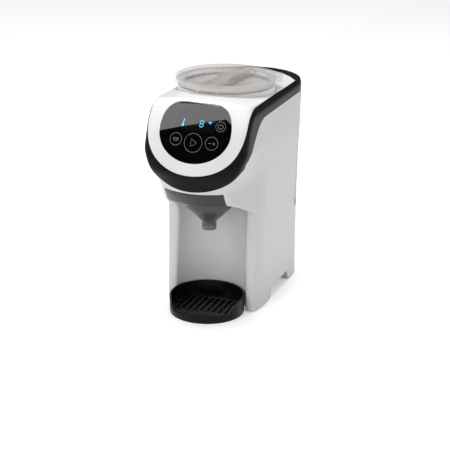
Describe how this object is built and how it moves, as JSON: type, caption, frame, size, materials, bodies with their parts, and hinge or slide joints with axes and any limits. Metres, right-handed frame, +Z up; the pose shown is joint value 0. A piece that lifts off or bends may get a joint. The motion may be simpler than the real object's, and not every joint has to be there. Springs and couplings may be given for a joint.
{
  "type": "baby formula maker",
  "caption": "Countertop machine that doses powder and warm water through a mixing funnel in a pull-out drawer into a bottle on a drip tray; container and tank lift off.",
  "frame": {"origin": "below the middle of the whole machine, on the surface it stands on", "axes": "+Z up, -Y towards the face and the bottle bay, +X to the machine's right seen from the front"},
  "size_m": [0.141, 0.298, 0.307],
  "materials": {
    "shell_white": "satin white",
    "mask_white": "gloss white",
    "trim_black": "satin black",
    "lens_black": "high gloss black",
    "base_grey": "fine grain",
    "screw_steel": "zinc plated",
    "foot_rubber": "matte",
    "display": "dark window",
    "board_green": "solder mask",
    "spring_steel": "bright",
    "inner_white": "satin",
    "acetal": "satin",
    "shaft_steel": "ground",
    "motor_steel": "drawn can",
    "clear": "clear, polished",
    "wheel_orange": "gloss orange-red",
    "stirrer_clear": "frosted",
    "seal_silicone": "translucent",
    "smoke": "smoke grey, polished",
    "tray_black": "satin black",
    "chassis_steel": "galvanised",
    "pump_white": "moulded",
    "heater_aluminium": "cast",
    "hose_silicone": "translucent",
    "gland_black": "matte"
  },
  "bodies": {
    "housing": {"body_shell": "shell_white", "front_mask": "mask_white", "trim_band": "trim_black", "control_lens": "lens_black", "base_plate": "base_grey", "case_screws": "screw_steel", "rubber_feet": "foot_rubber", "display_module": "display", "control_board": "board_green", "touch_springs": "spring_steel", "container_well": "inner_white", "shaft_bush": "acetal", "gearbox_case": "acetal", "gear_motor": "motor_steel", "powder_chute": "inner_white", "drawer_frame": "inner_white", "water_nozzle": "acetal", "tank_socket": "inner_white", "socket_seal": "seal_silicone", "chassis_plate": "chassis_steel", "water_pump": "pump_white", "pump_bracket": "inner_white", "flow_heater": "heater_aluminium", "heater_bracket": "chassis_steel", "suction_hose": "hose_silicone", "transfer_hose": "hose_silicone", "delivery_hose": "hose_silicone", "power_board": "board_green", "cord_gland": "gland_black"},
    "gear": {"drive_gear": "acetal", "drive_shaft": "shaft_steel"},
    "pinion": {"motor_pinion": "shaft_steel"},
    "container": {"powder_container": "clear"},
    "wheel": {"dispensing_wheel": "wheel_orange", "stirrer": "stirrer_clear"},
    "lid_ring": {"lid_seal": "seal_silicone"},
    "lid": {"container_lid": "clear"},
    "drawer": {"funnel_drawer": "smoke", "mixing_funnel": "smoke", "funnel_cover": "smoke"},
    "tray": {"drip_tray": "tray_black"},
    "grate": {"drip_grate": "tray_black"},
    "tank": {"water_tank": "smoke", "tank_spigot": "smoke", "valve_spring": "spring_steel"},
    "tank_cover": {"tank_lid": "trim_black"},
    "valve": {"valve_plunger": "acetal"}
  },
  "joints": [
    {"name": "gear_turn", "type": "hinge", "parent": "housing", "child": "gear", "pos_m": [0, -0.014, 0.223], "axis": [0, 0, 1], "continuous": true},
    {"name": "pinion_turn", "type": "hinge", "parent": "housing", "child": "pinion", "pos_m": [0, 0.01615, 0.223], "axis": [0, 0, 1], "continuous": true},
    {"name": "container_lift", "type": "slide", "parent": "housing", "child": "container", "axis": [0, 0, 1], "range_m": [0, 0.11]},
    {"name": "wheel_turn", "type": "hinge", "parent": "container", "child": "wheel", "pos_m": [0, -0.014, 0.238], "axis": [0, 0, 1], "continuous": true},
    {"name": "lid_turn", "type": "hinge", "parent": "container", "child": "lid_ring", "pos_m": [0, -0.014, 0.303], "axis": [0, 0, 1], "range_deg": [0, 25]},
    {"name": "lid_lift", "type": "slide", "parent": "lid_ring", "child": "lid", "axis": [0, 0, 1], "range_m": [0, 0.08]},
    {"name": "drawer_slide", "type": "slide", "parent": "housing", "child": "drawer", "axis": [0, -1, 0], "range_m": [0, 0.085]},
    {"name": "tray_slide", "type": "slide", "parent": "housing", "child": "tray", "axis": [0, -1, 0], "range_m": [0, 0.08]},
    {"name": "grate_lift", "type": "slide", "parent": "tray", "child": "grate", "axis": [0, 0, 1], "range_m": [0, 0.04]},
    {"name": "tank_lift", "type": "slide", "parent": "housing", "child": "tank", "axis": [0, 0.0624, 0.9981], "range_m": [0, 0.15]},
    {"name": "tank_lid_lift", "type": "slide", "parent": "tank", "child": "tank_cover", "axis": [0, 0.0624, 0.9981], "range_m": [0, 0.06]},
    {"name": "valve_open", "type": "slide", "parent": "tank", "child": "valve", "axis": [0, 0, 1], "range_m": [0, 0.003], "stiffness_N_per_m": 120}
  ],
  "couplings": [
    {"joint": "pinion_turn", "follows": "gear_turn", "ratio": -4},
    {"joint": "wheel_turn", "follows": "gear_turn", "ratio": 1}
  ]
}
